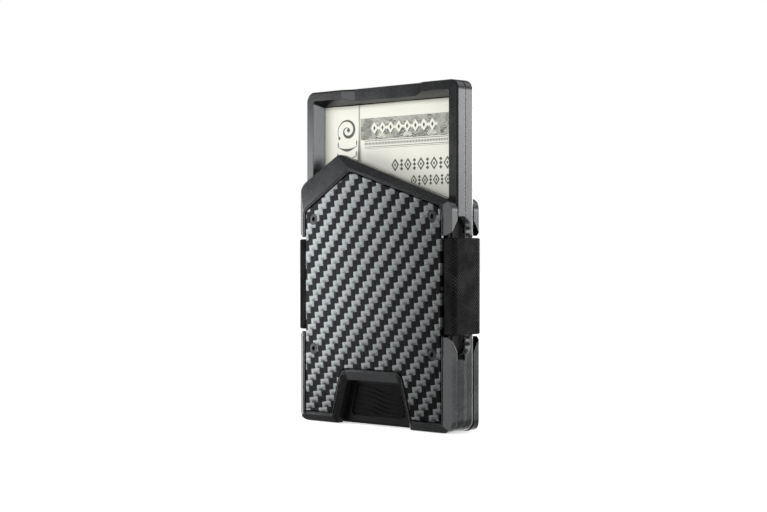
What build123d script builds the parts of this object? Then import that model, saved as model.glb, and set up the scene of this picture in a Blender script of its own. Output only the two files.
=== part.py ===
"""Plate-and-strap money clip: two peaked plates, an elastic strap and a pull-out cash tray.

The clip stands on the lower edges of its two plates. X runs across the width, Y from front
to back, Z up. The origin is on the standing plane, midway between the plates.
Millimetres throughout.
"""

from build123d import *
from math import atan, cos, sin, sqrt
import os

os.makedirs("parts", exist_ok=True)

# ---------------------------------------------------------------- driving dimensions
WIDTH = 57.7  # plates and tray
PLATE_T = 3.05
TRAY_T = 6.30
SLIDE_GAP = 0.05  # between the tray and each plate
TRAY_TOP = 91.5
TRAY_BOTTOM = 0.2  # the tray clears the table by this much
THICKNESS = 2 * (PLATE_T + SLIDE_GAP) + TRAY_T
HALF_W = WIDTH / 2
FRONT = -THICKNESS / 2  # Y of the front plate's face

# plate outline: an off-centre peak between two shoulders
PEAK = (-13.3, 73.6)
SHOULDER_LEFT_Z = 65.2
SHOULDER_RIGHT_Z = 59.9
FOOT_R = 3.0
SHOULDER_LEFT_R = 4.0
SHOULDER_RIGHT_R = 3.4
PEAK_R = 2.0

# inlay field: the area inside the plate's lip
FIELD_HALF_W = 26.05
FIELD_BOTTOM = 2.4
FIELD_PEAK = (-8.0, 68.9)
FIELD_LEFT_Z = 58.2
FIELD_RIGHT_Z = 58.6
FIELD_FOOT_R = 0.8
FIELD_LEFT_R = 2.2
FIELD_RIGHT_R = 2.2
FIELD_PEAK_R = 2.6
LIP_W = 0.25
GROOVE_W = 0.30
GROOVE_D = 0.35
BEVEL_DROP = 1.12  # how far the plate's face falls from the groove to its outer edge

# thumb notch, open at the bottom; its sides lean in by NOTCH_LEAN per millimetre of height
NOTCH_LEAN = 0.30
NOTCH_HALF_W = 15.0  # at the height of the field's bottom edge
NOTCH_TOP = 14.85
NOTCH_R = 3.0
NOTCH_INNER_HALF_W = 13.1
NOTCH_INNER_TOP = 12.0
NOTCH_INNER_R = 1.6
NOTCH_BEVEL_D = 1.3

# inlay and its fasteners
INLAY_T = 1.0
INLAY_DEPTH = 0.1  # below the lip
INLAY_GAP = 0.2
INLAY_CHAMFER = 0.3
POCKET_D = INLAY_DEPTH + INLAY_T
SCREW_X = 22.6
SCREW_Z = (20.15, 56.0)
SCREW_HEAD_R = 1.50
SCREW_HEAD_DEPTH = 0.2  # head top below the plate's face
SCREW_HEAD_H = 0.7
SCREW_SHANK_R = 0.80
SCREW_END = 2.6
SOCKET_R = 0.68
SOCKET_D = 0.5
INLAY_SINK_R = 1.66
INLAY_HOLE_R = 0.90
INSERT_R = 1.30
INSERT_BORE_R = 0.83
INSERT_END = 2.80
FIT = 0.03

# elastic strap, one closed band round both plates
STRAP_T = 0.90
STRAP_BOTTOM = 25.3
STRAP_TOP = 50.5
STRAP_MID_Z = (STRAP_BOTTOM + STRAP_TOP) / 2
STRAP_HALF_W = 29.8  # the side legs clear the tray as it slides
STRAP_LEG_Y = 1.12  # depth of the strap's outer face under the inlay
STRAP_RISE_X = 26.9
STRAP_RISE_Y = 0.55
STRAP_CORNER_Y = 1.75
STRAP_BEND_R = 0.7
RECESS_BOTTOM = 24.8
RECESS_TOP = 51.0
CHANNEL_D = STRAP_LEG_Y + STRAP_T + 0.05
CHANNEL_END_X = 25.9
RIM_CUT_X = 26.7
RELIEF = ((0.45, 0.0), (0.8, 0.35), (1.25, 1.05), (3.15, 3.9))  # depth, rise above the recess
TONGUE_X = 28.4  # the plate still backs the strap out to here
TONGUE_INSET = 1.2  # at each end, so that light passes beside the strap

# cash tray
TRAY_FRONT = FRONT + PLATE_T + SLIDE_GAP
TRAY_REAR = TRAY_FRONT + TRAY_T
BEZEL_T = 3.05
SPLIT_Y = TRAY_FRONT + BEZEL_T
TRAY_TOP_R = 2.7
TRAY_FOOT_R = 3.0
TRAY_CHAMFER = 0.5
PARTING_CHAMFER = 0.15
REAR_FILLET = 0.6
WINDOW_HALF_W = 25.85
WINDOW_BOTTOM = 24.0
WINDOW_TOP = 89.0
WINDOW_R = 0.9
WINDOW_BEVEL = 1.6
SCOOP_MID_X = 0.75
SCOOP_HALF_W = 15.3  # at the bezel's face
SCOOP_FLOOR_HALF_W = 11.6
SCOOP_D = 1.70
SIDE_RECESS_HALF = 17.65  # half height of the strap's recess in the tray's sides
SIDE_RECESS_R = 2.6
SIDE_FLOOR_X = 27.0
SIDE_RECESS_END = TRAY_FRONT + 4.95
SIDE_BEVEL_TOP = 0.4
SIDE_BEVEL_BOTTOM = 1.6
RAMP_X = 28.2  # a ramp leads from the deep recess out to the flange
RAMP_RUN = 1.35
RAMP_MOUTH_X = 29.0
FLANGE_X = 28.42  # the flange steps in under the strap
RIB_PITCH = 1.75
RIB_FIRST = 13.25  # height of the highest grooves above the strap's middle, less one pitch
RIB_GROOVE_H = 0.45
RIB_GROOVE_X = 27.95
RIB_GROOVE_END = 0.12  # short of the ramp's outer edge
CAVITY_HALF_W = 26.25
CAVITY_BOTTOM = 20.7
CAVITY_D = 2.05
TRAY_SCREWS = ((-27.4, 87.0), (27.4, 87.0), (-23.0, 6.0), (23.0, 6.0))
TRAY_SCREW_HEAD_R = 0.85
TRAY_SCREW_R = 0.50
TRAY_SCREW_L = 4.4

# moulded thumb grip in the tray's apron
GRIP_HALF_W = (10.6, 8.2)  # bottom, top
GRIP_Z = (2.4, 11.2)
GRIP_R = 1.2
GRIP_POCKET_D = 0.8
GRIP_BASE_T = 0.35
GRIP_RIDGE_H = 0.35
GRIP_RIDGE_W = 0.55
GRIP_RIDGE_PITCH = 1.27
GRIP_RIDGE_COUNT = 6
GRIP_TOP_RIDGE_Z = 9.0
GRIP_WAVE = ((-10.5, 0.75), (-5.5, 1.0), (-2.5, 0.75), (0.5, 0.0), (3.5, -0.65), (6.5, -0.85), (10.5, -0.8))

# folded banknotes
NOTE_W = 52.0
NOTE_H = 66.3
NOTE_T = 0.92
NOTE_TOP = 87.25
NOTE_STAGGER = 0.35


def at_y(y):
    """Plane facing the front at depth y, with local x along X and local y along Z."""
    return Plane.XZ.offset(-y)


def mirrored_height(z):
    """The same height measured from the other end of the strap."""
    return 2 * STRAP_MID_Z - z


def plate_outline(y):
    """Outer outline of a plate."""
    with BuildSketch(at_y(y)) as outline:
        with BuildLine():
            FilletPolyline(
                (-HALF_W, 0),
                (HALF_W, 0),
                (HALF_W, SHOULDER_RIGHT_Z),
                PEAK,
                (-HALF_W, SHOULDER_LEFT_Z),
                radius=(FOOT_R, FOOT_R, SHOULDER_RIGHT_R, PEAK_R, SHOULDER_LEFT_R),
                close=True,
            )
        make_face()
    return outline.sketch


def notch_half_width(half_width, z):
    """Half width of a leaning notch at height z."""
    return half_width - NOTCH_LEAN * (z - FIELD_BOTTOM)


def field_outline(y, grow=0.0):
    """Outline of the inlay field, grown or shrunk all round."""
    notch_foot = notch_half_width(NOTCH_HALF_W, FIELD_BOTTOM)
    notch_head = notch_half_width(NOTCH_HALF_W, NOTCH_TOP)
    with BuildSketch(at_y(y)) as outline:
        with BuildLine():
            FilletPolyline(
                (-FIELD_HALF_W, FIELD_BOTTOM),
                (-notch_foot, FIELD_BOTTOM),
                (-notch_head, NOTCH_TOP),
                (notch_head, NOTCH_TOP),
                (notch_foot, FIELD_BOTTOM),
                (FIELD_HALF_W, FIELD_BOTTOM),
                (FIELD_HALF_W, FIELD_RIGHT_Z),
                FIELD_PEAK,
                (-FIELD_HALF_W, FIELD_LEFT_Z),
                radius=(
                    FIELD_FOOT_R,
                    FIELD_FOOT_R,
                    NOTCH_R,
                    NOTCH_R,
                    FIELD_FOOT_R,
                    FIELD_FOOT_R,
                    FIELD_RIGHT_R,
                    FIELD_PEAK_R,
                    FIELD_LEFT_R,
                ),
                close=True,
            )
        make_face()
        if grow:
            offset(amount=grow, kind=Kind.INTERSECTION)
    return outline.sketch


def notch_outline(y, half_width, top, radius):
    """A thumb notch that runs out below the plate."""
    below = -1.0
    with BuildSketch(at_y(y)) as outline:
        with BuildLine():
            FilletPolyline(
                (-notch_half_width(half_width, below), below),
                (-notch_half_width(half_width, top), top),
                (notch_half_width(half_width, top), top),
                (notch_half_width(half_width, below), below),
                radius=(0, radius, radius, 0),
                close=True,
            )
        make_face()
    return outline.sketch


def bevel_plane(start, end, outer):
    """Plane that falls from the line start-end on the face to the outer point at the bevel's foot."""
    along = Vector(end[0] - start[0], 0, end[1] - start[1]).normalized()
    outward = along.cross(Vector(0, 1, 0))
    reach = outward.dot(Vector(outer[0] - start[0], 0, outer[1] - start[1]))
    slope = atan(BEVEL_DROP / reach)
    normal = outward * sin(slope) + Vector(0, -1, 0) * cos(slope)
    return Plane(origin=(start[0], FRONT, start[1]), z_dir=normal)


def box_between(low, high, mode=Mode.ADD):
    """Axis-aligned box between two corners, in the part being built."""
    middle = [(a + b) / 2 for a, b in zip(low, high)]
    size = [b - a for a, b in zip(low, high)]
    with Locations(tuple(middle)):
        Box(*size, mode=mode)


def side_pair(low, high, mode):
    """The same box on the right side and on the left side."""
    box_between(low, high, mode)
    box_between((-high[0], low[1], low[2]), (-low[0], high[1], high[2]), mode)


def screw_planes(depth):
    """Planes facing the front at the four screw positions, at a depth below the plate's face."""
    return [
        Plane(origin=(x, FRONT + depth, z), z_dir=(0, -1, 0))
        for x in (-SCREW_X, SCREW_X)
        for z in SCREW_Z
    ]


def both_ways(profile):
    """A profile of (depth, height) points and its copy turned over about the strap's middle."""
    return profile, [(y, mirrored_height(z)) for y, z in profile]


# ---------------------------------------------------------------- front plate
bevel_in = LIP_W + GROOVE_W
face_side = FIELD_HALF_W + bevel_in
face_bottom = FIELD_BOTTOM - bevel_in
left_rise = (FIELD_PEAK[1] - FIELD_LEFT_Z) / (FIELD_PEAK[0] + FIELD_HALF_W)
right_rise = (FIELD_RIGHT_Z - FIELD_PEAK[1]) / (FIELD_HALF_W - FIELD_PEAK[0])
left_lift = bevel_in / cos(atan(left_rise))
right_lift = bevel_in / cos(atan(right_rise))
MID_LEFT_X = (PEAK[0] - HALF_W) / 2
MID_RIGHT_X = (PEAK[0] + HALF_W) / 2
mid_left_z = (PEAK[1] + SHOULDER_LEFT_Z) / 2
mid_right_z = (PEAK[1] + SHOULDER_RIGHT_Z) / 2
bevels = [
    bevel_plane((face_side, 0), (face_side, 50), (HALF_W, 20)),
    bevel_plane((-face_side, 50), (-face_side, 0), (-HALF_W, 20)),
    bevel_plane((-20, face_bottom), (20, face_bottom), (0, 0)),
    bevel_plane(
        (FIELD_HALF_W, FIELD_RIGHT_Z + right_lift),
        (FIELD_PEAK[0], FIELD_PEAK[1] + right_lift),
        (MID_RIGHT_X, mid_right_z),
    ),
    bevel_plane(
        (FIELD_PEAK[0], FIELD_PEAK[1] + left_lift),
        (-FIELD_HALF_W, FIELD_LEFT_Z + left_lift),
        (MID_LEFT_X, mid_left_z),
    ),
]

# The recess for the strap opens towards the tray in a steep relief at both ends.
relief = [(FRONT + depth, RECESS_TOP + rise) for depth, rise in RELIEF]
relief.append((relief[-1][0], RECESS_TOP))
tongue = [
    (RIM_CUT_X - 0.1, FRONT + PLATE_T),
    (RIM_CUT_X - 0.1, FRONT + CHANNEL_D),
    (RIM_CUT_X + 0.5, FRONT + CHANNEL_D - 0.27),
    (TONGUE_X, FRONT + CHANNEL_D + 0.30),
    (TONGUE_X, FRONT + PLATE_T),
]

with BuildPart() as front_plate:
    extrude(plate_outline(FRONT + PLATE_T), amount=PLATE_T)
    for plane in bevels:
        split(bisect_by=plane, keep=Keep.BOTTOM)
    with BuildSketch(at_y(FRONT)) as groove:
        add(field_outline(FRONT, bevel_in))
        add(field_outline(FRONT, LIP_W), mode=Mode.SUBTRACT)
    extrude(amount=-GROOVE_D, mode=Mode.SUBTRACT)
    extrude(field_outline(FRONT), amount=-POCKET_D, mode=Mode.SUBTRACT)
    # thumb notch: a bevelled mouth, then a straight wall
    notch_mouth = notch_outline(FRONT, NOTCH_HALF_W - LIP_W, NOTCH_TOP - LIP_W, NOTCH_R)
    notch_wall = notch_outline(
        FRONT + NOTCH_BEVEL_D, NOTCH_INNER_HALF_W, NOTCH_INNER_TOP, NOTCH_INNER_R
    )
    loft([notch_mouth, notch_wall], ruled=True, mode=Mode.SUBTRACT)
    extrude(notch_wall, amount=-PLATE_T, mode=Mode.SUBTRACT)
    # strap channel under the inlay, and the recess through each rim
    box_between(
        (-CHANNEL_END_X, FRONT, RECESS_BOTTOM),
        (CHANNEL_END_X, FRONT + CHANNEL_D, RECESS_TOP),
        Mode.SUBTRACT,
    )
    side_pair(
        (CHANNEL_END_X, FRONT, RECESS_BOTTOM),
        (HALF_W, FRONT + CHANNEL_D, RECESS_TOP),
        Mode.SUBTRACT,
    )
    side_pair(
        (RIM_CUT_X, FRONT, RECESS_BOTTOM),
        (HALF_W, FRONT + PLATE_T, RECESS_TOP),
        Mode.SUBTRACT,
    )
    for side in (1, -1):
        for profile in both_ways(relief):
            with BuildSketch(Plane.YZ.offset(side * RIM_CUT_X)):
                Polygon(*profile, align=None)
            extrude(amount=side * (HALF_W - RIM_CUT_X), mode=Mode.SUBTRACT)
        with BuildSketch(Plane.XY.offset(RECESS_BOTTOM + TONGUE_INSET)):
            Polygon(*[(side * x, y) for x, y in tongue], align=None)
        extrude(amount=RECESS_TOP - RECESS_BOTTOM - 2 * TONGUE_INSET)
    # blind seats for the threaded inserts
    with Locations(*screw_planes(POCKET_D)):
        Cylinder(
            INSERT_R + FIT,
            INSERT_END - POCKET_D,
            align=(Align.CENTER, Align.CENTER, Align.MAX),
            mode=Mode.SUBTRACT,
        )

# ---------------------------------------------------------------- carbon inlay
with BuildPart() as front_inlay:
    extrude(field_outline(FRONT + INLAY_DEPTH, -INLAY_GAP), amount=-INLAY_T)
    face_edges = front_inlay.faces().sort_by(Axis.Y)[0].edges()
    chamfer(face_edges, INLAY_CHAMFER)
    with Locations(*screw_planes(INLAY_DEPTH)):
        CounterSinkHole(INLAY_HOLE_R, INLAY_SINK_R, depth=INLAY_T)

# ---------------------------------------------------------------- plate screws and inserts
with BuildPart() as front_screws:
    with Locations(*screw_planes(SCREW_HEAD_DEPTH)):
        Cone(
            SCREW_SHANK_R,
            SCREW_HEAD_R,
            SCREW_HEAD_H,
            align=(Align.CENTER, Align.CENTER, Align.MAX),
        )
    with Locations(*screw_planes(SCREW_HEAD_DEPTH + SCREW_HEAD_H)):
        Cylinder(
            SCREW_SHANK_R,
            SCREW_END - SCREW_HEAD_DEPTH - SCREW_HEAD_H,
            align=(Align.CENTER, Align.CENTER, Align.MAX),
        )
    with BuildSketch(*screw_planes(SCREW_HEAD_DEPTH)):
        RegularPolygon(SOCKET_R, 6)
    extrude(amount=-SOCKET_D, mode=Mode.SUBTRACT)

with BuildPart() as front_inserts:
    with Locations(*screw_planes(POCKET_D)):
        Cylinder(
            INSERT_R,
            INSERT_END - POCKET_D - FIT,
            align=(Align.CENTER, Align.CENTER, Align.MAX),
        )
        Cylinder(
            INSERT_BORE_R,
            INSERT_END - POCKET_D,
            align=(Align.CENTER, Align.CENTER, Align.MAX),
            mode=Mode.SUBTRACT,
        )

# ---------------------------------------------------------------- the same four pieces at the back
with BuildPart() as back_plate:
    mirror(front_plate.part, about=Plane.XZ)
with BuildPart() as back_inlay:
    mirror(front_inlay.part, about=Plane.XZ)
with BuildPart() as back_screws:
    mirror(front_screws.part, about=Plane.XZ)
with BuildPart() as back_inserts:
    mirror(front_inserts.part, about=Plane.XZ)

# ---------------------------------------------------------------- elastic strap
front_run = [
    (STRAP_HALF_W, FRONT + STRAP_CORNER_Y),
    (STRAP_RISE_X, FRONT + STRAP_RISE_Y),
    (CHANNEL_END_X + 0.15, FRONT + STRAP_LEG_Y),
]
right_side = [(x, -y) for x, y in reversed(front_run)] + front_run
loop = right_side + [(-x, y) for x, y in reversed(right_side)]
with BuildPart() as elastic_strap:
    with BuildSketch(Plane.XY.offset(STRAP_BOTTOM)):
        with BuildLine():
            FilletPolyline(*loop, radius=STRAP_BEND_R, close=True)
        make_face()
        offset(amount=-STRAP_T, kind=Kind.INTERSECTION, mode=Mode.SUBTRACT)
    extrude(amount=STRAP_TOP - STRAP_BOTTOM)


# ---------------------------------------------------------------- cash tray
def tray_outline(y):
    """Outer outline of the tray."""
    with BuildSketch(at_y(y)) as outline:
        with BuildLine():
            FilletPolyline(
                (-HALF_W, TRAY_BOTTOM),
                (HALF_W, TRAY_BOTTOM),
                (HALF_W, TRAY_TOP),
                (-HALF_W, TRAY_TOP),
                radius=(TRAY_FOOT_R, TRAY_FOOT_R, TRAY_TOP_R, TRAY_TOP_R),
                close=True,
            )
        make_face()
    return outline.sketch


def window_outline(y, inset, radius):
    """The window in the bezel, smaller by inset than at the bezel's face."""
    half_width = WINDOW_HALF_W - inset
    bottom = WINDOW_BOTTOM + inset
    top = WINDOW_TOP - inset
    with BuildSketch(at_y(y)) as outline:
        with BuildLine():
            FilletPolyline(
                (-half_width, bottom),
                (half_width, bottom),
                (half_width, top),
                (-half_width, top),
                radius=radius,
                close=True,
            )
        make_face()
    return outline.sketch


def side_recess_outline(side, x, inset):
    """Side view of the strap's recess in one side of the tray, open towards the front."""
    top = STRAP_MID_Z + SIDE_RECESS_HALF
    bottom = STRAP_MID_Z - SIDE_RECESS_HALF
    with BuildSketch(Plane.YZ.offset(side * x)) as outline:
        with BuildLine():
            FilletPolyline(
                (TRAY_FRONT - 1, bottom),
                (SIDE_RECESS_END - inset, bottom),
                (SIDE_RECESS_END - inset, top),
                (TRAY_FRONT - 1, top),
                radius=(0, SIDE_RECESS_R, SIDE_RECESS_R, 0),
                close=True,
            )
        make_face()
    return outline.sketch


def cut_side_recesses():
    """The strap's recess in both sides: deep towards the front, with a ramp up to the flange."""
    beyond = RAMP_RUN * (HALF_W - RAMP_MOUTH_X) / (HALF_W - RAMP_X)
    for side in (1, -1):
        extrude(side_recess_outline(side, SIDE_FLOOR_X, RAMP_RUN), amount=2 * side, mode=Mode.SUBTRACT)
        loft(
            [
                side_recess_outline(side, RAMP_X, RAMP_RUN),
                side_recess_outline(side, RAMP_MOUTH_X, beyond),
            ],
            ruled=True,
            mode=Mode.SUBTRACT,
        )


def side_recess_wall(z):
    """Y of the ramp's outer edge at height z."""
    into_bend = max(0, abs(z - STRAP_MID_Z) - (SIDE_RECESS_HALF - SIDE_RECESS_R))
    return SIDE_RECESS_END - SIDE_RECESS_R + sqrt(SIDE_RECESS_R**2 - into_bend**2)


def grip_outline(y, inset):
    """The thumb grip's outline in the tray's apron."""
    with BuildSketch(at_y(y)) as outline:
        with BuildLine():
            FilletPolyline(
                (-GRIP_HALF_W[0] + inset, GRIP_Z[0] + inset),
                (GRIP_HALF_W[0] - inset, GRIP_Z[0] + inset),
                (GRIP_HALF_W[1] - inset, GRIP_Z[1] - inset),
                (-GRIP_HALF_W[1] + inset, GRIP_Z[1] - inset),
                radius=GRIP_R,
                close=True,
            )
        make_face()
    return outline.sketch


scoop = [
    (SCOOP_MID_X - SCOOP_HALF_W, TRAY_FRONT),
    (SCOOP_MID_X - SCOOP_FLOOR_HALF_W, TRAY_FRONT + SCOOP_D),
    (SCOOP_MID_X + SCOOP_FLOOR_HALF_W, TRAY_FRONT + SCOOP_D),
    (SCOOP_MID_X + SCOOP_HALF_W, TRAY_FRONT),
]
tray_screw_planes = [
    Plane(origin=(x, TRAY_REAR - 0.1, z), z_dir=(0, 1, 0)) for x, z in TRAY_SCREWS
]

with BuildPart() as tray_bezel:
    extrude(tray_outline(SPLIT_Y), amount=BEZEL_T)
    rear_edges = tray_bezel.faces().sort_by(Axis.Y)[-1].edges()
    chamfer(rear_edges, PARTING_CHAMFER)
    front_edges = tray_bezel.faces().sort_by(Axis.Y)[0].edges()
    chamfer(front_edges, TRAY_CHAMFER)
    # window with sloping sides
    loft(
        [
            window_outline(TRAY_FRONT, 0, WINDOW_R),
            window_outline(SPLIT_Y, WINDOW_BEVEL, WINDOW_R / 2),
        ],
        ruled=True,
        mode=Mode.SUBTRACT,
    )
    # thumb scoop across the top bar
    with BuildSketch(Plane.XY.offset(WINDOW_TOP - 2 * WINDOW_BEVEL)):
        Polygon(*scoop, align=None)
    extrude(amount=TRAY_TOP, mode=Mode.SUBTRACT)
    ramp_edges = (
        tray_bezel.edges()
        .filter_by_position(Axis.Z, TRAY_TOP - 0.01, TRAY_TOP + 0.01)
        .filter_by(lambda e: abs(e.tangent_at(0.5).X) > 0.1 and abs(e.tangent_at(0.5).Y) > 0.1)
    )
    chamfer(ramp_edges, TRAY_CHAMFER)
    cut_side_recesses()
    # bevels at the recess's ends
    recess_top = STRAP_MID_Z + SIDE_RECESS_HALF
    recess_bottom = STRAP_MID_Z - SIDE_RECESS_HALF
    for end, bevel in ((recess_top, SIDE_BEVEL_TOP), (recess_bottom, -SIDE_BEVEL_BOTTOM)):
        for side in (1, -1):
            with BuildSketch(at_y(SPLIT_Y)):
                Polygon(
                    (side * HALF_W, end + bevel),
                    (side * (HALF_W - abs(bevel)), end),
                    (side * HALF_W, end),
                    align=None,
                )
            extrude(amount=BEZEL_T, mode=Mode.SUBTRACT)
    extrude(grip_outline(TRAY_FRONT, 0), amount=-GRIP_POCKET_D, mode=Mode.SUBTRACT)
    with Locations(*tray_screw_planes):
        Cylinder(
            TRAY_SCREW_R + FIT,
            TRAY_SCREW_L + FIT,
            align=(Align.CENTER, Align.CENTER, Align.MAX),
            mode=Mode.SUBTRACT,
        )

with BuildPart() as tray_shell:
    extrude(tray_outline(TRAY_REAR), amount=TRAY_REAR - SPLIT_Y)
    split_edges = tray_shell.faces().sort_by(Axis.Y)[0].edges()
    chamfer(split_edges, PARTING_CHAMFER)
    rear_edges = tray_shell.faces().sort_by(Axis.Y)[-1].edges()
    fillet(rear_edges, REAR_FILLET)
    # pan for the notes, open at the top
    box_between(
        (-CAVITY_HALF_W, SPLIT_Y, CAVITY_BOTTOM),
        (CAVITY_HALF_W, SPLIT_Y + CAVITY_D, TRAY_TOP),
        Mode.SUBTRACT,
    )
    cut_side_recesses()
    side_pair(
        (FLANGE_X, SIDE_RECESS_END - RAMP_RUN, STRAP_BOTTOM - 0.2),
        (HALF_W, TRAY_REAR, STRAP_TOP + 0.2),
        Mode.SUBTRACT,
    )
    # ribs across the ramp
    for i in range(-1, 8):
        for z in (STRAP_MID_Z + RIB_FIRST - i * RIB_PITCH, STRAP_MID_Z - RIB_FIRST + i * RIB_PITCH):
            wall = side_recess_wall(z)
            side_pair(
                (RIB_GROOVE_X, wall - RAMP_RUN - 0.3, z - RIB_GROOVE_H / 2),
                (HALF_W + 0.1, wall - RIB_GROOVE_END, z + RIB_GROOVE_H / 2),
                Mode.SUBTRACT,
            )
    with Locations(*tray_screw_planes):
        CounterSinkHole(TRAY_SCREW_R + FIT, TRAY_SCREW_HEAD_R + FIT, depth=TRAY_T)

with BuildPart() as tray_screws:
    with Locations(*tray_screw_planes):
        Cylinder(
            TRAY_SCREW_R,
            TRAY_SCREW_L,
            align=(Align.CENTER, Align.CENTER, Align.MAX),
        )
        Cone(
            TRAY_SCREW_R,
            TRAY_SCREW_HEAD_R,
            TRAY_SCREW_HEAD_R - TRAY_SCREW_R,
            align=(Align.CENTER, Align.CENTER, Align.MAX),
        )

ridge_y = TRAY_FRONT + GRIP_POCKET_D - GRIP_BASE_T
with BuildPart() as thumb_grip:
    extrude(grip_outline(TRAY_FRONT + GRIP_POCKET_D, FIT), amount=GRIP_BASE_T)
    for i in range(GRIP_RIDGE_COUNT):
        ridge_z = GRIP_TOP_RIDGE_Z - i * GRIP_RIDGE_PITCH
        with BuildSketch(at_y(ridge_y)):
            with BuildLine():
                Spline(*[(x, ridge_z + rise) for x, rise in GRIP_WAVE])
            trace(line_width=GRIP_RIDGE_W)
            add(grip_outline(ridge_y, GRIP_RIDGE_W), mode=Mode.INTERSECT)
        extrude(amount=GRIP_RIDGE_H)


# ---------------------------------------------------------------- folded notes
def note_slab(index):
    """One folded note in the pan: a plain slab of its folded size."""
    near = SPLIT_Y + 0.06 + index * (NOTE_T + 0.05)
    top = NOTE_TOP - index * NOTE_STAGGER
    box_between((-NOTE_W / 2, near, top - NOTE_H + NOTE_STAGGER), (NOTE_W / 2, near + NOTE_T, top))


with BuildPart() as outer_note:
    note_slab(0)
with BuildPart() as inner_note:
    note_slab(1)

# ---------------------------------------------------------------- export
pieces = {
    "front_plate": front_plate,
    "front_inlay": front_inlay,
    "front_screws": front_screws,
    "front_inserts": front_inserts,
    "back_plate": back_plate,
    "back_inlay": back_inlay,
    "back_screws": back_screws,
    "back_inserts": back_inserts,
    "elastic_strap": elastic_strap,
    "tray_bezel": tray_bezel,
    "tray_shell": tray_shell,
    "tray_screws": tray_screws,
    "thumb_grip": thumb_grip,
    "outer_note": outer_note,
    "inner_note": inner_note,
}
for label, piece in pieces.items():
    piece.part.label = label
    export_step(piece.part, f"parts/{label}.step")
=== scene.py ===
"""Looks for the plate-and-strap money clip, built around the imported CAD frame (metres, Z up)."""

import bpy
import bmesh
import math
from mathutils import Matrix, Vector


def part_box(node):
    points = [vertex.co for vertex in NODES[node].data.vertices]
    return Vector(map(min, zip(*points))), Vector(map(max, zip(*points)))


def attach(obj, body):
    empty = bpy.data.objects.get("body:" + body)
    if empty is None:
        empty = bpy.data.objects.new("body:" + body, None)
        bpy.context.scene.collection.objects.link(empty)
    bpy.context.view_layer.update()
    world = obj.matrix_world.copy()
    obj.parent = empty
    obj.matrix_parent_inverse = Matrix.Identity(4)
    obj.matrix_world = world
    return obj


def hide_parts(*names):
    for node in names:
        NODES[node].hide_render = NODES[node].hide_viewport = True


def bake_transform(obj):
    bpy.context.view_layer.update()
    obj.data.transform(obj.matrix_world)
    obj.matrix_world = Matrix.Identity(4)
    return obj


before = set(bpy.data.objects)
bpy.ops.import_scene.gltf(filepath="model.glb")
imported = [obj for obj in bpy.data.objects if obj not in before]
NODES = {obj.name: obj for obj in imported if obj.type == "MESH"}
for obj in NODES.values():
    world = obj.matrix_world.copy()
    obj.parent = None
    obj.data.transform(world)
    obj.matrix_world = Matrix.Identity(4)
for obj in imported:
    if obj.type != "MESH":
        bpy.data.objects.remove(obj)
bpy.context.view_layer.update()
MM = 0.001
STRAP_LOW, STRAP_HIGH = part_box("elastic_strap")
STRAP_Z = (STRAP_LOW[2] + STRAP_HIGH[2]) / 2
TRAY_FACE_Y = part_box("tray_bezel")[0][1]
PLATE_SLOT_X = 26.7  # half the width, in mm, between the slot walls that the strap runs along
TRAY_SLOT_X = 27.0


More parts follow.
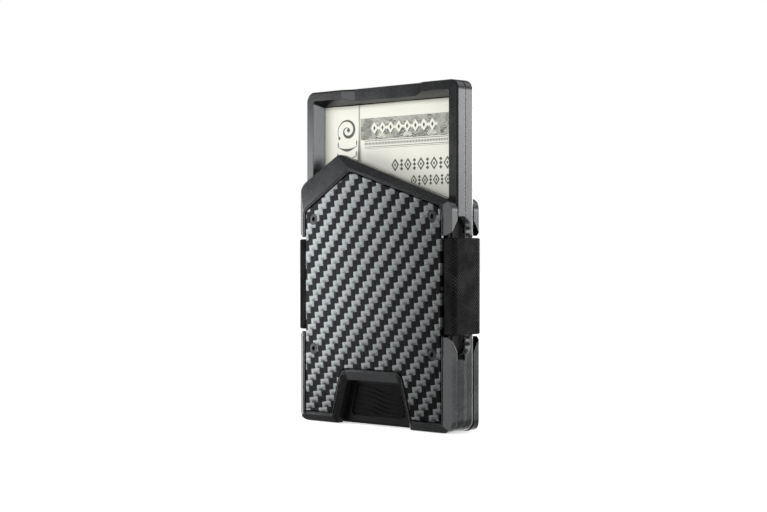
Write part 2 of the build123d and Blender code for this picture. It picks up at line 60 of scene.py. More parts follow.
# ---------------------------------------------------------------- node helpers
class Graph:
    """A node tree with short calls for the nodes used here."""

    def __init__(self, name, world=False):
        kind = bpy.data.worlds if world else bpy.data.materials
        self.owner = kind.new(name)
        self.owner.use_nodes = True
        self.tree = self.owner.node_tree
        self.shader = self.tree.nodes["Background" if world else "Principled BSDF"]
        place = "Generated" if world else "Object"
        self.coord = self.tree.nodes.new("ShaderNodeTexCoord").outputs[place]

    def put(self, socket, value):
        """Link a socket, or set a number or colour, on an input."""
        if isinstance(value, bpy.types.NodeSocket):
            self.tree.links.new(value, socket)
        elif socket.type == "RGBA" and not hasattr(value, "__len__"):
            socket.default_value = (value, value, value, 1)
        elif socket.type == "RGBA" and len(value) == 3:
            socket.default_value = (*value, 1)
        else:
            socket.default_value = value

    def math(self, operation, *values, clamp=False):
        node = self.tree.nodes.new("ShaderNodeMath")
        node.operation = operation
        node.use_clamp = clamp
        for socket, value in zip(node.inputs, values):
            self.put(socket, value)
        return node.outputs[0]

    def add(self, a, b):
        return self.math("ADD", a, b)

    def sub(self, a, b):
        return self.math("SUBTRACT", a, b)

    def mul(self, a, b):
        return self.math("MULTIPLY", a, b)

    def ramp(self, value, low, high, out_low=0.0, out_high=1.0, smooth=True):
        """Map value from low..high to out_low..out_high, clamped."""
        node = self.tree.nodes.new("ShaderNodeMapRange")
        node.interpolation_type = "SMOOTHSTEP" if smooth else "LINEAR"
        for socket, item in zip(node.inputs, (value, low, high, out_low, out_high)):
            self.put(socket, item)
        return node.outputs[0]

    def mix(self, factor, a, b):
        """Blend two colours."""
        node = self.tree.nodes.new("ShaderNodeMix")
        node.data_type = "RGBA"
        self.put(node.inputs[0], factor)
        self.put(node.inputs[6], a)
        self.put(node.inputs[7], b)
        return node.outputs[2]

    def separate(self, vector):
        node = self.tree.nodes.new("ShaderNodeSeparateXYZ")
        self.put(node.inputs[0], vector)
        return node.outputs

    def combine(self, x, y, z):
        node = self.tree.nodes.new("ShaderNodeCombineXYZ")
        for socket, value in zip(node.inputs, (x, y, z)):
            self.put(socket, value)
        return node.outputs[0]

    def scaled(self, scale):
        """Object coordinates multiplied by a per-axis scale."""
        node = self.tree.nodes.new("ShaderNodeVectorMath")
        node.operation = "MULTIPLY"
        self.put(node.inputs[0], self.coord)
        self.put(node.inputs[1], scale)
        return node.outputs[0]

    def dot(self, vector, direction):
        node = self.tree.nodes.new("ShaderNodeVectorMath")
        node.operation = "DOT_PRODUCT"
        self.put(node.inputs[0], vector)
        self.put(node.inputs[1], direction)
        return node.outputs["Value"]

    def near(self, value, middle, reach):
        """1 where value is within reach of middle, else 0."""
        off = self.math("ABSOLUTE", self.sub(value, middle))
        return self.math("LESS_THAN", off, reach)

    def noise(self, vector, scale, detail=2.0, rough=0.5):
        node = self.tree.nodes.new("ShaderNodeTexNoise")
        self.put(node.inputs["Vector"], vector)
        self.put(node.inputs["Scale"], scale)
        self.put(node.inputs["Detail"], detail)
        self.put(node.inputs["Roughness"], rough)
        return node.outputs["Fac"]

    def bump(self, height, distance, strength=1.0, edge=0.0):
        """Bump the surface; edge rounds sharp edges in the shading by that radius."""
        node = self.tree.nodes.new("ShaderNodeBump")
        if edge:
            soft = self.tree.nodes.new("ShaderNodeBevel")
            soft.samples = 6
            soft.inputs["Radius"].default_value = edge
            self.put(node.inputs["Normal"], soft.outputs[0])
        self.put(node.inputs["Height"], height)
        self.put(node.inputs["Distance"], distance)
        self.put(node.inputs["Strength"], strength)
        self.put(self.shader.inputs["Normal"], node.outputs[0])

    def finish(self, **inputs):
        """Set the shader's inputs by name and return the material."""
        for name, value in inputs.items():
            self.put(self.shader.inputs[name.replace("_", " ")], value)
        return self.owner


def anodised(name, colour, roughness, slot_x, edge=0.16, slot_half=18.0, apron=False):
    """Satin black anodised aluminium with a very fine grain.

    The walls at slot_x, where the strap runs, are matt and painted near black within slot_half of the
    strap's middle: painted shade in the strap's recess.
    The tray's apron, its front face below the window, turns matt and is painted darker towards the
    bottom: painted shade inside the thumb notch.
    """
    g = Graph(name)
    x, y, z = g.separate(g.coord)
    side = g.math("ABSOLUTE", x)
    # painted shade: near the strap the slot walls are matt, and their colour is painted at a tenth of
    # the plate's
    matt_painted_shade = g.mul(g.near(side, slot_x * MM, 0.06 * MM), g.near(z, STRAP_Z, slot_half * MM))
    # painted shade: with apron, the tray's front face below the window is painted darker towards the
    # bottom
    if apron:
        face = g.near(y, TRAY_FACE_Y, 0.15 * MM)
        matt_painted_shade = g.math("MAXIMUM", matt_painted_shade, g.mul(face, g.ramp(z, 15.0 * MM, 27.0 * MM, 1.0, 0.0)))
    fine = g.noise(g.coord, 7500, 2.0, 0.6)
    cloud = g.noise(g.coord, 90, 4.0, 0.6)
    tone = g.ramp(cloud, 0.3, 0.7)
    dark = [c * 0.86 for c in colour]
    light = [c * 1.14 for c in colour]
    rough = g.add(g.ramp(fine, 0.3, 0.7, roughness - 0.05, roughness + 0.05), g.mul(tone, 0.05))
    g.bump(fine, 0.000003, 0.5, edge=edge * MM)
    return g.finish(
        Base_Color=g.mix(matt_painted_shade, g.mix(tone, dark, light), [c * 0.10 for c in colour]),
        Roughness=g.add(rough, g.mul(matt_painted_shade, 0.25)),
        Metallic=g.ramp(matt_painted_shade, 0, 1, 0.85, 0.75, smooth=False),
    )


# ---------------------------------------------------------------- carbon inlay
WEAVE_ANGLE = math.radians(7.1)
TOW_COLUMN = 1.665 * MM
TOW_ROW = 1.550 * MM
WEAVE_SHIFT = (2.883, -0.055)


def carbon(name, facing):
    """2x2 twill carbon fibre under a satin resin coat. facing is -1 for the front, 1 for the back."""
    g = Graph(name)
    x, _, z = g.separate(g.coord)
    if facing > 0:
        x = g.mul(x, -1.0)
    turn_cos, turn_sin = math.cos(WEAVE_ANGLE), math.sin(WEAVE_ANGLE)
    across = g.add(g.mul(x, turn_cos / TOW_COLUMN), g.mul(z, turn_sin / TOW_COLUMN))
    up = g.add(g.mul(x, -turn_sin / TOW_ROW), g.mul(z, turn_cos / TOW_ROW))
    wobble = g.sub(g.noise(g.coord, 420, 2.0), 0.5)
    u = g.add(g.add(across, WEAVE_SHIFT[0]), g.mul(wobble, 0.16))
    v = g.add(g.add(up, WEAVE_SHIFT[1]), g.mul(wobble, 0.16))
    column, row = g.math("FLOOR", u), g.math("FLOOR", v)
    along, height = g.sub(u, column), g.sub(v, row)
    step = g.math("FLOORED_MODULO", g.sub(column, row), 4.0)
    weft = g.math("LESS_THAN", step, 1.5)
    # position along each float, 0..1, over its two cells
    second = g.math("GREATER_THAN", g.math("FLOORED_MODULO", step, 2.0), 0.5)
    weft_along = g.mul(g.add(along, second), 0.5)
    warp_second = g.math("LESS_THAN", g.math("FLOORED_MODULO", step, 2.0), 0.5)
    warp_along = g.mul(g.add(height, g.sub(1.0, warp_second)), 0.5)

    def crown(t, power):
        """1 in the middle of a tow, falling to 0 at its edges."""
        edge = g.math("ABSOLUTE", g.sub(g.mul(t, 2.0), 1.0))
        return g.sub(1.0, g.math("POWER", edge, power))

    weft_height = g.mul(crown(weft_along, 6.0), crown(height, 3.0))
    warp_height = g.mul(crown(warp_along, 6.0), crown(along, 3.0))
    body = g.add(g.mul(weft, weft_height), g.mul(g.sub(1.0, weft), g.mul(warp_height, 0.8)))
    # filaments run along each tow
    weft_fibre = g.noise(g.combine(g.mul(u, 0.5), g.mul(v, 14.0), 0.0), 1.6, 3.0, 0.7)
    warp_fibre = g.noise(g.combine(g.mul(u, 14.0), g.mul(v, 0.5), 3.0), 1.6, 3.0, 0.7)
    fibre = g.add(g.mul(weft, weft_fibre), g.mul(g.sub(1.0, weft), warp_fibre))
    # painted light and shade: each weft float is painted brighter round its top and its ends and darker
    # low in its middle, the darkening stronger lower on the plate
    low = g.ramp(height, 0.05, 0.75, 1.0, 0.0)
    middle = g.ramp(g.math("ABSOLUTE", g.sub(weft_along, 0.5)), 0.10, 0.34, 1.0, 0.0)
    painted_shade_low = g.mul(low, middle)
    painted_shade_by_height = g.ramp(z, 0.012, 0.060, 0.88, 0.34, smooth=False)
    shade = g.sub(1.0, g.mul(painted_shade_low, painted_shade_by_height))
    rim = g.mul(crown(height, 12.0), crown(weft_along, 16.0))
    weft_tone = g.mul(shade, g.ramp(fibre, 0.25, 0.75, 0.84, 1.12))
    weft_tone = g.mul(weft_tone, g.ramp(rim, 0.0, 0.4, 0.72, 1.0))
    patch = g.noise(g.coord, 60, 3.0)
    weft_tone = g.mul(weft_tone, g.ramp(patch, 0.3, 0.7, 0.92, 1.06))
    warp_tone = g.ramp(fibre, 0.25, 0.75, 0.7, 1.35)
    # painted sheen: the weft tows' colour carries a bright painted reflection, while the warp tows stay
    # near black
    weft_painted_sheen = g.mix(g.mul(weft_tone, 0.95), (0.012, 0.0125, 0.0135), (0.186, 0.198, 0.204))
    warp_colour = g.mix(g.mul(warp_tone, 0.6), (0.0015, 0.0016, 0.0018), (0.009, 0.0095, 0.0105))
    colour = g.mix(weft, warp_colour, weft_painted_sheen)
    g.bump(g.add(body, g.mul(fibre, 0.05)), 0.00003, 0.6)
    rough = g.ramp(fibre, 0.2, 0.8, 0.24, 0.34)
    material = g.finish(Base_Color=colour, Roughness=rough, Metallic=0.9)
    g.shader.inputs["Specular IOR Level"].default_value = 0.2
    return material


# ---------------------------------------------------------------- other materials
def black_steel(name):
    """Black oxide screw: dark, a little glossier than the plates, with turning marks."""
    g = Graph(name)
    fine = g.noise(g.coord, 9000, 2.0)
    cloud = g.noise(g.coord, 700, 3.0)
    g.bump(fine, 0.000008, 0.5)
    tone = g.mix(g.ramp(cloud, 0.3, 0.7), (0.025, 0.026, 0.028), (0.06, 0.062, 0.066))
    return g.finish(Base_Color=tone, Roughness=g.ramp(fine, 0.3, 0.7, 0.26, 0.40), Metallic=0.9)


def brass(name):
    g = Graph(name)
    cloud = g.noise(g.coord, 900, 3.0)
    rings = g.noise(g.scaled((1, 9, 1)), 3000, 2.0)
    g.bump(rings, 0.00001, 0.6)
    tone = g.mix(g.ramp(cloud, 0.3, 0.7), (0.50, 0.36, 0.15), (0.68, 0.52, 0.25))
    return g.finish(Base_Color=tone, Roughness=g.ramp(rings, 0.3, 0.7, 0.22, 0.38), Metallic=1.0)


def rubber(name):
    g = Graph(name)
    fine = g.noise(g.coord, 6000, 3.0, 0.6)
    cloud = g.noise(g.coord, 300, 3.0)
    g.bump(fine, 0.00002, 0.7)
    tone = g.mix(g.ramp(cloud, 0.3, 0.7), (0.0015, 0.0015, 0.0015), (0.004, 0.004, 0.004))
    material = g.finish(Base_Color=tone, Roughness=g.ramp(fine, 0.3, 0.7, 0.44, 0.56))
    g.shader.inputs["Specular IOR Level"].default_value = 0.07
    return material


def webbing(name):
    """Knitted elastic: a fine net of slanted stitches, fuzzy and uneven."""
    g = Graph(name)
    uv = g.tree.nodes.new("ShaderNodeUVMap")
    uv.uv_map = "weave"
    s, t, _ = g.separate(uv.outputs[0])
    drift = g.mul(g.sub(g.noise(g.coord, 260, 2.0), 0.5), 0.9)
    rising = g.math("ABSOLUTE", g.math("SINE", g.add(g.mul(g.add(s, t), math.pi), drift)))
    falling = g.math("ABSOLUTE", g.math("SINE", g.sub(g.mul(g.sub(s, t), math.pi), drift)))
    knit = g.math("MINIMUM", rising, falling)
    yarn = g.noise(g.combine(g.mul(s, 2.0), g.mul(t, 5.0), 0.0), 2.0, 3.0, 0.7)
    fuzz = g.noise(g.coord, 7000, 2.0)
    g.bump(g.add(g.mul(knit, 0.9), g.mul(yarn, 0.4)), 0.00016, 1.0)
    cloud = g.noise(g.coord, 130, 3.0)
    worn = g.ramp(g.noise(g.coord, 210, 2.0), 0.35, 0.65, 0.35, 1.0)
    tone = g.add(g.mul(g.mul(knit, worn), 1.0), g.mul(yarn, 0.3))
    dark = g.mix(cloud, (0.0015, 0.0015, 0.0017), (0.003, 0.003, 0.0034))
    colour = g.mix(g.ramp(tone, 0.2, 1.05), dark, (0.030, 0.0305, 0.031))
    material = g.finish(Base_Color=colour, Roughness=g.ramp(fuzz, 0.2, 0.8, 0.72, 0.92))
    g.shader.inputs["Specular IOR Level"].default_value = 0.12
    return material


PAPER = (0.79, 0.78, 0.70)
INK = (0.045, 0.055, 0.042)
LACE_INK = (0.07, 0.08, 0.065)
LACE_PITCH = 0.52 * MM


def paper(name, printed):
    """Cotton banknote paper with fibres, faint creases and, where printed, fine engraved tint lines."""
    g = Graph(name)
    x, _, z = g.separate(g.coord)
    fibres = g.noise(g.scaled((1, 1, 2.5)), 1500, 4.0, 0.7)
    cloud = g.noise(g.coord, 55, 3.0)
    tone = g.mix(g.ramp(cloud, 0.3, 0.7), PAPER, [c * 0.95 for c in PAPER])
    colour = g.mix(g.ramp(fibres, 0.45, 0.75, 0.0, 0.16), tone, (0.66, 0.63, 0.52))
    if printed:
        wave = g.mul(g.math("SINE", g.mul(x, 900)), 0.00035)
        lines = g.math("SINE", g.mul(g.add(z, wave), 2 * math.pi / 0.0006))
        tint = g.mul(g.ramp(lines, 0.2, 0.9), g.ramp(x, -0.009, -0.004, 0.0, 0.10))
        colour = g.mix(tint, colour, (0.45, 0.47, 0.38))
    g.bump(g.add(g.mul(fibres, 0.6), cloud), 0.00003, 0.6)
    return g.finish(Base_Color=colour, Roughness=g.ramp(fibres, 0.2, 0.8, 0.72, 0.88))


def ink(name):
    """Intaglio ink: slightly raised, uneven in density."""
    g = Graph(name)
    fine = g.noise(g.coord, 5000, 3.0, 0.7)
    g.bump(fine, 0.00001, 0.6)
    tone = g.mix(g.ramp(fine, 0.35, 0.75), INK, [c * 3.2 + 0.02 for c in INK])
    return g.finish(Base_Color=tone, Roughness=g.ramp(fine, 0.2, 0.8, 0.6, 0.8))


def engraving(name):
    """Dense engraved ground: crossed fine wavy lines on paper, for the note's ornament band."""
    g = Graph(name)
    x, _, z = g.separate(g.coord)
    swirl = g.noise(g.coord, 520, 2.0)
    rise = g.mul(g.sub(swirl, 0.5), 0.0030)
    first = g.math("SINE", g.mul(g.add(g.add(z, rise), g.mul(x, 0.55)), 2 * math.pi / LACE_PITCH))
    second = g.math("SINE", g.mul(g.sub(g.sub(z, rise), g.mul(x, 0.55)), 2 * math.pi / LACE_PITCH))
    lace = g.ramp(g.add(first, second), -0.5, 1.5, 1.0, 0.30)
    blotch = g.ramp(g.noise(g.coord, 330, 2.0), 0.42, 0.58, 0.72, 1.0)
    cover = g.mul(lace, blotch)
    fibres = g.noise(g.coord, 1500, 4.0, 0.7)
    g.bump(g.add(lace, g.mul(fibres, 0.4)), 0.00002, 0.6)
    return g.finish(
        Base_Color=g.mix(cover, PAPER, LACE_INK),
        Roughness=g.ramp(fibres, 0.2, 0.8, 0.66, 0.84),
    )


BLACK = (0.060, 0.062, 0.064)
MATERIALS = {
    "front_plate": anodised("plate_black", BLACK, 0.23, PLATE_SLOT_X),
    "back_plate": anodised("plate_black_back", BLACK, 0.23, PLATE_SLOT_X, slot_half=12.0),
    "tray_bezel": anodised("tray_black", BLACK, 0.22, TRAY_SLOT_X, apron=True),
    "tray_shell": anodised("shell_black", BLACK, 0.22, TRAY_SLOT_X, edge=0.9),
    "front_inlay": carbon("carbon_front", -1),
    "back_inlay": carbon("carbon_back", 1),
    "front_screws": black_steel("screw_black"),
    "back_screws": black_steel("screw_black_back"),
    "tray_screws": black_steel("screw_black_tray"),
    "front_inserts": brass("insert_brass"),
    "back_inserts": brass("insert_brass_back"),
    "thumb_grip": rubber("grip_rubber"),
}
for node, material in MATERIALS.items():
    mesh = NODES[node].data
    for i in range(len(mesh.materials)):
        mesh.materials[i] = material
    if not mesh.materials:
        mesh.materials.append(material)


# ---------------------------------------------------------------- mesh helpers
def link(name, mesh, material, smooth=True):
    for polygon in mesh.polygons:
        polygon.use_smooth = smooth
    mesh.materials.append(material)
    obj = bpy.data.objects.new(name, mesh)
    bpy.context.scene.collection.objects.link(obj)
    return obj


# ---------------------------------------------------------------- elastic strap
# Half the strap's centre line, in mm: under the inlay, over the plate's edge, then its side leg.
STRAP_FOOT = (25.90, -4.68)
STRAP_RISE = (26.75, -5.20)
STRAP_CORNER_Y = -4.8
STRAP_T = 0.86 * MM
STRAP_BEND_R = 1.0 * MM
NET_PITCH = 0.80 * MM  # of the knitted net, along the strap
STRAP_RIBS = 28


def strap_path():
    """The strap's centre line as a closed loop of points, in metres, with sharp bends."""
    corner = (STRAP_HIGH[0] / MM - 0.45, STRAP_CORNER_Y)
    quarter = [STRAP_FOOT, STRAP_RISE, corner]
    right = quarter + [(x, -y) for x, y in reversed(quarter)]
    loop = right + [(-x, y) for x, y in reversed(right)]
    return [Vector((x * MM, y * MM, 0)) for x, y in loop]


def rounded_loop(points, radius, step):
    """A closed polyline with its corners rounded, resampled at about an even step."""
    rounded = []
    count = len(points)
    for i in range(count):
        before, here, after = points[i - 1], points[i], points[(i + 1) % count]
        a, b = (before - here), (after - here)
        reach = min(radius, a.length * 0.45, b.length * 0.45)
        start, end = here + a.normalized() * reach, here + b.normalized() * reach
        for k in range(9):
            t = k / 8
            rounded.append((1 - t) ** 2 * start + 2 * t * (1 - t) * here + t * t * end)
    dense = []
    for i in range(len(rounded)):
        a, b = rounded[i], rounded[(i + 1) % len(rounded)]
        length = (b - a).length
        for k in range(max(1, int(length / step))):
            dense.append(a.lerp(b, k / max(1, int(length / step))))
    return dense


def strap_section(width):
    """(share of the width, half thickness) pairs across the strap: ribs between rolled edges."""
    rows = STRAP_RIBS * 6
    section = []
    for i in range(rows + 1):
        t = i / rows
        edge = min(t, 1 - t) * width
        roll = min(1.0, math.sqrt(max(0.0, 1 - (1 - min(1.0, edge / (0.40 * MM))) ** 2)))
        rib = 0.5 - 0.5 * math.cos(2 * math.pi * t * STRAP_RIBS)
        section.append((t, STRAP_T / 2 * roll - 0.02 * MM * (1 - rib) * roll))
    return section


def build_strap():
    """The knitted elastic band: one closed loop with lengthwise ribs and rolled selvages."""
    z_low, z_high = STRAP_LOW[2], STRAP_HIGH[2]
    loop = rounded_loop(strap_path(), STRAP_BEND_R, 0.42 * MM)
    count = len(loop)
    width = z_high - z_low
    section = strap_section(width)
    bm = bmesh.new()
    uv_points = {}
    rings = []
    travelled = 0.0
    for k in range(count):
        here, ahead, behind = loop[k], loop[(k + 1) % count], loop[k - 1]
        tangent = (ahead - behind).normalized()
        normal = Vector((tangent.y, -tangent.x, 0))
        ring = []
        sway = 0.06 * MM * math.sin(travelled * 420) + 0.03 * MM * math.sin(travelled * 1130 + 1)
        for side in (1, -1):
            order = section if side == 1 else section[::-1]
            for t, out in order:
                z = z_low + 0.08 * MM + t * (width - 0.16 * MM) + sway * (2 * t - 1) * 0.6
                offset = normal * (side * max(out, 0.02 * MM))
                vertex = bm.verts.new(here + offset + Vector((0, 0, z)))
                uv_points[vertex] = (travelled / NET_PITCH, t * STRAP_RIBS)
                ring.append(vertex)
        rings.append(ring)
        travelled += (ahead - here).length
    # the net repeats a whole, even number of times round the loop, so it meets itself
    layer = bm.loops.layers.uv.new("weave")
    repeats = travelled / NET_PITCH
    stretch = round(repeats / 2) * 2 / repeats
    for k in range(count):
        a, b = rings[k], rings[(k + 1) % count]
        for i in range(len(a)):
            j = (i + 1) % len(a)
            face = bm.faces.new((a[i], b[i], b[j], a[j]))
            for corner in face.loops:
                s, t = uv_points[corner.vert]
                if k == count - 1 and corner.vert in (b[i], b[j]):
                    s = repeats
                corner[layer].uv = (s * stretch, t)
    bmesh.ops.recalc_face_normals(bm, faces=bm.faces)
    mesh = bpy.data.meshes.new("strap_band")
    bm.to_mesh(mesh)
    bm.free()
    strap = link("strap_band", mesh, webbing("strap_webbing"))
    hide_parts("elastic_strap")
    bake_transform(strap)


build_strap()


# ---------------------------------------------------------------- folded notes
PLY = 0.10 * MM
FLAP_EDGE = -10.75 * MM
FLAP_LIFT = 0.60  # mm, at the foot of the flap's free edge
FLAP_PRESS = 0.10  # mm, at its top


def smooth_step(value, low, high):
    t = max(0.0, min(1.0, (value - low) / (high - low)))
    return t * t * (3 - 2 * t)


def paper_y(x, z, y, flap):
    """Y of a ply's middle: a faint bow, and a flap that lifts near the foot of its free edge."""
    bow = 0.025 * MM * math.sin(z * 210 + y * 900) * math.sin(x * 120 + 3.1)
    if not flap:
        return y + bow
    edge = smooth_step(x, FLAP_EDGE - 7 * MM, FLAP_EDGE)
    foot = 1 - smooth_step(z, 68 * MM, 81 * MM)
    return y + bow - edge * (foot * FLAP_LIFT - (1 - foot) * FLAP_PRESS) * MM


def folded_note(name, node, plies, flap_edge=None):
    """A note folded over on itself: one sheet in a serpentine of flat plies with rounded folds."""
    low, high = (Vector(c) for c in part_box(node))
    pitch = (high.y - low.y - 2 * PLY) / (plies - 1)
    radius = pitch / 2
    fold_left, fold_right = low.x + radius + PLY, high.x - radius - PLY
    line = []
    for ply in range(plies):
        y = low.y + PLY + ply * pitch
        left, right = fold_left, fold_right
        if ply == 0 and flap_edge is not None:
            right = flap_edge
        run = [(left + (right - left) * k / 40, y) for k in range(41)]
        forward = ply % 2 == 1
        if not forward:
            run.reverse()
        line.extend(run)
        if ply < plies - 1:
            at = line[-1][0]
            turn = 1 if forward else -1
            for k in range(1, 8):
                angle = math.pi * k / 8
                line.append((at + turn * radius * math.sin(angle), y + radius * (1 - math.cos(angle))))
    rows = 48
    bm = bmesh.new()
    grid = []
    for r in range(rows + 1):
        z = low.z + (high.z - low.z) * r / rows
        ring = []
        for i, (x, y) in enumerate(line):
            flap = flap_edge is not None and y < low.y + PLY * 1.5
            trim = 0.10 * MM * math.sin(i * 0.11 + y * 5000) if r == rows else 0.0
            before, after = line[max(0, i - 1)], line[min(len(line) - 1, i + 1)]
            along = Vector((after[0] - before[0], after[1] - before[1], 0)).normalized()
            side = Vector((along.y, -along.x, 0)) * PLY / 2
            centre = Vector((x, paper_y(x, z, y, flap), z - abs(trim)))
            ring.append((bm.verts.new(centre + side), bm.verts.new(centre - side)))
        grid.append(ring)
    last = len(line) - 1
    for r in range(rows):
        a, b = grid[r], grid[r + 1]
        for i in range(last):
            bm.faces.new((a[i][0], a[i + 1][0], b[i + 1][0], b[i][0]))
            bm.faces.new((a[i][1], b[i][1], b[i + 1][1], a[i + 1][1]))
        bm.faces.new((a[0][0], b[0][0], b[0][1], a[0][1]))
        bm.faces.new((a[last][0], a[last][1], b[last][1], b[last][0]))
    for r, flip in ((0, False), (rows, True)):
        ring = grid[r]
        for i in range(last):
            corners = (ring[i][0], ring[i][1], ring[i + 1][1], ring[i + 1][0])
            bm.faces.new(corners if not flip else corners[::-1])
    bmesh.ops.recalc_face_normals(bm, faces=bm.faces)
    mesh = bpy.data.meshes.new(name)
    bm.to_mesh(mesh)
    bm.free()
    note = link(name, mesh, paper(name + "_paper", flap_edge is not None))
    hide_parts(node)
    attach(note, "notes")


folded_note("note_front", "outer_note", 4, flap_edge=FLAP_EDGE)
folded_note("note_rear", "inner_note", 4)


# ---------------------------------------------------------------- print on the front note
PAPER_SHADE, INK_SHADE, LACE_SHADE = range(3)


class Printing:
    """Thin closed slabs of ink on the front note's face. Points are (x, z) in millimetres."""

    def __init__(self):
        low, high = (Vector(c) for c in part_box("outer_note"))
        self.flap_y = low.y + PLY
        self.under_y = self.flap_y + (high.y - low.y - 2 * PLY) / 3
        self.bm = bmesh.new()

    def corner(self, x, z, lift):
        flap = x * MM < FLAP_EDGE
        y = paper_y(x * MM, z * MM, self.flap_y if flap else self.under_y, flap) - PLY / 2
        return self.bm.verts.new((x * MM, y - lift * MM, z * MM))

    def ribbon(self, left, right, shade=INK_SHADE, lift=0.03):
        """A slab between two lines of points."""
        rows = []
        for a, b in zip(left, right):
            rows.append([self.corner(*p, out) for p in (a, b) for out in (lift, -0.03)])
        quads = []
        for a, b in zip(rows, rows[1:]):
            quads += [(a[0], a[2], b[2], b[0]), (a[1], b[1], b[3], a[3])]
            quads += [(a[0], b[0], b[1], a[1]), (a[2], a[3], b[3], b[2])]
        for end in (rows[0], rows[-1]):
            quads.append((end[0], end[1], end[3], end[2]))
        for quad in quads:
            self.bm.faces.new(quad).material_index = shade

    def stroke(self, points, width, shade=INK_SHADE, lift=0.03):
        """A line of varying width; width is a function of the 0..1 position along it."""
        left, right = [], []
        last = len(points) - 1
        for i, (x, z) in enumerate(points):
            x0, z0 = points[max(0, i - 1)]
            x1, z1 = points[min(last, i + 1)]
            along = Vector((x1 - x0, z1 - z0)).normalized()
            half = width(i / last) / 2
            left.append((x - along.y * half, z + along.x * half))
            right.append((x + along.y * half, z - along.x * half))
        self.ribbon(left, right, shade, lift)

    def ring(self, x, z, rx, rz, width):
        turn = [2 * math.pi * k / 28 for k in range(29)]
        outer = [(x + rx * math.cos(a), z + rz * math.sin(a)) for a in turn]
        inner = [(x + (rx - width) * math.cos(a), z + (rz - width * 0.6) * math.sin(a)) for a in turn]
        self.ribbon(outer, inner)

    def leaf(self, x, z, half_w, half_h, shade=INK_SHADE, lift=0.03, point=1.0):
        """An upright leaf; point below 1 makes it rounder."""
        steps = [-0.96 + 1.92 * k / 12 for k in range(13)]
        reach = [half_w * (1 - abs(t)) ** point for t in steps]
        left = [(x - r, z + half_h * t) for r, t in zip(reach, steps)]
        right = [(x + r, z + half_h * t) for r, t in zip(reach, steps)]
        self.ribbon(left, right, shade, lift)

    def finish(self):
        bmesh.ops.recalc_face_normals(self.bm, faces=self.bm.faces)
        mesh = bpy.data.meshes.new("note_print")
        self.bm.to_mesh(mesh)
        self.bm.free()
        piece = link("note_print", mesh, paper("print_paper", False), smooth=False)
        mesh.materials.append(ink("print_ink"))
        mesh.materials.append(engraving("print_lace"))
        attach(piece, "notes")


def print_band(art):
    """A dark lace band with a row of white lozenges, fans below it and rules under it."""
    start, end, low, high = -10.3, 23.6, 77.5, 83.4
    columns = [start + (end - start) * k / 60 for k in range(61)]
    art.ribbon([(x, low) for x in columns], [(x, high) for x in columns], LACE_SHADE, 0.02)
    for k in range(8):
        x = -4.9 + 3.1 * k
        art.leaf(x + 0.25, 80.45, 1.5, 1.75, INK_SHADE, 0.03)
        art.leaf(x, 80.6, 1.45, 1.65, PAPER_SHADE, 0.05)
        art.leaf(x, 80.6, 0.42, 0.60, INK_SHADE, 0.06, 0.6)
        art.leaf(x + 1.55, 80.6, 0.32, 0.5, PAPER_SHADE, 0.05, 0.5)
    for middle in (-2.2, 7.6, 16.5):
        for k in range(-3, 4):
            lean = math.radians(20 * k)
            near, far = 0.7, 1.9
            line = [
                (middle + r * math.sin(lean), low + r * math.cos(lean) * 0.9)
                for r in (near, (near + far) / 2, far)
            ]
            art.stroke(line, lambda t: 0.12 + 0.22 * t, PAPER_SHADE, 0.04)
    for z, width in ((77.25, 0.16), (75.6, 0.14), (75.15, 0.07)):
        art.ribbon([(x, z) for x in columns[3:]], [(x, z - width) for x in columns[3:]])
    for k in range(58):
        x = -8.6 + 0.56 * k
        art.leaf(x, 76.4, 0.14, 0.42, INK_SHADE, 0.03, 0.5)


def print_rows(art):
    """Two rows of ornament under the rules: framed lozenges between stacks of small ones."""
    for start, middle, half_h, count in ((3.0, 70.25, 1.75, 5), (10.0, 65.9, 1.5, 4)):
        pitch = half_h * 2.75
        for k in range(count):
            x = start + pitch * k
            if x > 23.5:
                break
            art.leaf(x, middle, half_h * 0.80, half_h)
            art.leaf(x, middle, half_h * 0.50, half_h * 0.62, PAPER_SHADE, 0.04)
            art.leaf(x, middle, half_h * 0.22, half_h * 0.30, INK_SHADE, 0.05)
            for level in (-0.62, 0.0, 0.62):
                stack = x + half_h * 1.38
                art.leaf(stack, middle + level * half_h, half_h * 0.34, half_h * 0.30)


def print_scroll(art):
    """A thick and thin scroll on the folded flap, with two hanging garlands under it."""
    spiral = []
    for k in range(49):
        t = k / 48
        angle = math.radians(215 - 560 * t)
        radius = 3.1 * (1 - t) + 0.35
        spiral.append((-15.3 + radius * 1.15 * math.cos(angle), 80.4 + radius * math.sin(angle)))
    art.stroke(spiral, lambda t: 0.16 + 0.72 * math.sin(math.pi * min(1, t * 1.1)) ** 2)
    art.leaf(*spiral[-1], 0.62, 0.62, INK_SHADE, 0.035, 0.5)
    art.leaf(*spiral[0], 0.45, 0.45, INK_SHADE, 0.035, 0.5)
    garland = [(-19.2 + 7.8 * k / 24, 76.0 - 1.0 * math.sin(k / 24 * math.pi)) for k in range(25)]
    art.stroke(garland, lambda t: 0.14 + 0.62 * math.sin(math.pi * t) ** 2)
    for x, z in ((-19.0, 76.6), (-11.6, 76.9), (-19.2, 73.6), (-11.5, 73.9)):
        art.leaf(x, z, 0.22, 0.75, INK_SHADE, 0.03, 0.4)
    low_garland = [(x, z - 2.6) for x, z in garland]
    art.stroke(low_garland, lambda t: 0.14 + 0.45 * math.sin(math.pi * t) ** 2)


art = Printing()
print_band(art)
print_rows(art)
print_scroll(art)
art.finish()


# ---------------------------------------------------------------- studio
def toward(azimuth, elevation):
    """Unit vector at an azimuth from +X and an elevation, both in degrees."""
    a, e = math.radians(azimuth), math.radians(elevation)
    return (math.cos(e) * math.cos(a), math.cos(e) * math.sin(a), math.sin(e))


# Softboxes: azimuth, elevation, half width of the full part, half width of the whole, radiance.
SOFTBOXES = [
    (-85, 3, 6, 20, 2.3),
    (-5, 0, 10, 24, 3.8),
    (-140, -34, 8, 20, 0.7),
    (72, 40, 8, 26, 1.3),
    (162, -4, 4, 12, 3.0),
    (100, -8, 20, 34, 6.0),
]


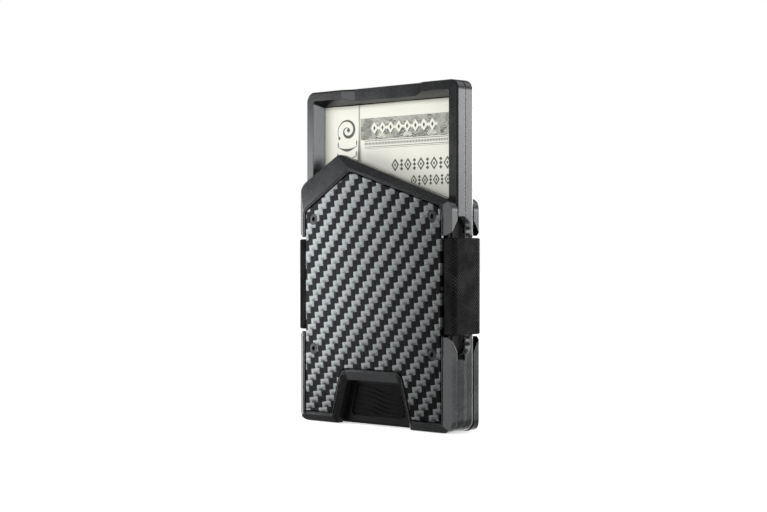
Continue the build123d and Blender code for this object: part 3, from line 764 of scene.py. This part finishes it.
def studio():
    """Directional soft light from the world, with a pale floor; the camera sees plain white."""
    g = Graph("studio", world=True)
    direction = g.coord
    up = g.separate(direction)[2]
    light = g.add(0.10, g.ramp(up, 0.05, 0.4, 0.0, 0.15))
    for azimuth, elevation, inner, outer, radiance in SOFTBOXES:
        near = g.dot(direction, toward(azimuth, elevation))
        edge = (math.cos(math.radians(outer)), math.cos(math.radians(inner)))
        light = g.add(light, g.ramp(near, *edge, 0.0, radiance))
    behind = g.ramp(g.dot(direction, toward(62, 0)), 0.2, 0.5)
    low_wall = g.mul(g.ramp(up, -0.03, 0.065, 0.12, 6.9), g.ramp(up, 0.14, 0.26, 1.0, 0.0))
    light = g.add(light, g.mul(behind, low_wall))
    seen = g.tree.nodes.new("ShaderNodeLightPath").outputs["Is Camera Ray"]
    g.put(g.shader.inputs["Color"], g.mix(seen, g.combine(light, light, light), (1, 1, 1)))
    bpy.context.scene.world = g.owner

    bm = bmesh.new()
    bmesh.ops.create_grid(bm, x_segments=24, y_segments=24, size=3.0)
    mesh = bpy.data.meshes.new("floor")
    bm.to_mesh(mesh)
    bm.free()
    g = Graph("floor_paper")
    cloud = g.noise(g.coord, 14, 3.0)
    seen = g.tree.nodes.new("ShaderNodeLightPath").outputs["Is Camera Ray"]
    floor = link("floor", mesh, g.finish(
        Base_Color=g.mix(g.ramp(cloud, 0.3, 0.7), (0.90, 0.90, 0.90), (0.92, 0.92, 0.92)),
        Roughness=0.9,
        Emission_Color=(1, 1, 1),
        Emission_Strength=g.mul(seen, 0.6),
    ))
    floor.location.z = -0.0002
    floor.visible_glossy = False
    floor.visible_shadow = False


def panel_light(name, where, size, power, glossy=True):
    """A soft rectangular light aimed at the middle of the clip, unseen by the camera."""
    data = bpy.data.lights.new(name, "AREA")
    data.shape = "RECTANGLE"
    data.size, data.size_y = size
    data.energy = power
    lamp = bpy.data.objects.new(name, data)
    lamp.location = where
    aim = Vector((0, 0, 0.045)) - Vector(where)
    lamp.rotation_euler = aim.to_track_quat("-Z", "Y").to_euler()
    lamp.visible_camera = False
    lamp.visible_glossy = glossy
    bpy.context.scene.collection.objects.link(lamp)


def camera():
    """A level camera at 45 degrees, the photograph's viewing angle."""
    data = bpy.data.cameras.new("camera")
    data.lens = 80.48
    data.sensor_width = 36.0
    data.clip_start = 0.01
    cam = bpy.data.objects.new("camera", data)
    cam.location = (0.3275, -0.3287, 0.04572)
    cam.rotation_euler = (math.radians(90), 0, math.radians(45))
    bpy.context.scene.collection.objects.link(cam)
    bpy.context.scene.camera = cam


studio()
panel_light("left_panel", (-0.243, -0.147, 0.045), (0.12, 0.12), 0.26)
panel_light("key_panel", (-0.38, -0.354, 0.345), (0.34, 0.34), 2.75, glossy=False)
camera()
bpy.context.scene.view_settings.view_transform = "Standard"
